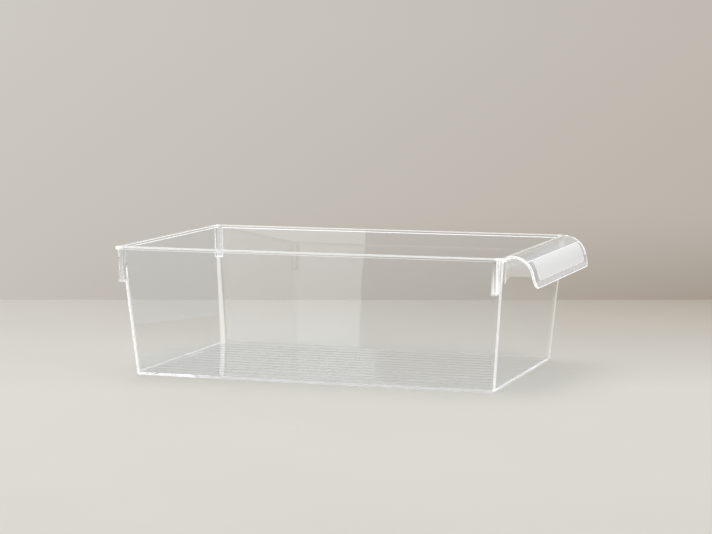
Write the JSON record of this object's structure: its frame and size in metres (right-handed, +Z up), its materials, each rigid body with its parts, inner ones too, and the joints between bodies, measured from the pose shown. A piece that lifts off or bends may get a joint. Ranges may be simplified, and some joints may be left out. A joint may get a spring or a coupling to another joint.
{
  "type": "fridge bin",
  "caption": "Clear open-top storage bin with leaning walls, lugs for stacking, lengthwise floor ribs and a curled pull handle with a frosted panel.",
  "frame": {"origin": "centre of the tub's base, on the surface it stands on", "axes": "+X along the bin to its handle, +Y across it to the back, +Z up"},
  "size_m": [0.3797, 0.236, 0.1167],
  "materials": {
    "clear_body": "clear, polished",
    "frosted_panel": "frosted white"
  },
  "bodies": {
    "root": {"floor_panel": "clear_body", "floor_ribs": "clear_body", "front_wall": "clear_body", "back_wall": "clear_body", "left_end_wall": "clear_body", "handle_end_wall": "clear_body", "front_left_corner": "clear_body", "back_left_corner": "clear_body", "front_right_corner": "clear_body", "back_right_corner": "clear_body", "rim_lip": "clear_body", "handle_curl": "clear_body", "front_gusset": "clear_body", "back_gusset": "clear_body", "grip_panel": "frosted_panel"}
  },
  "joints": []
}
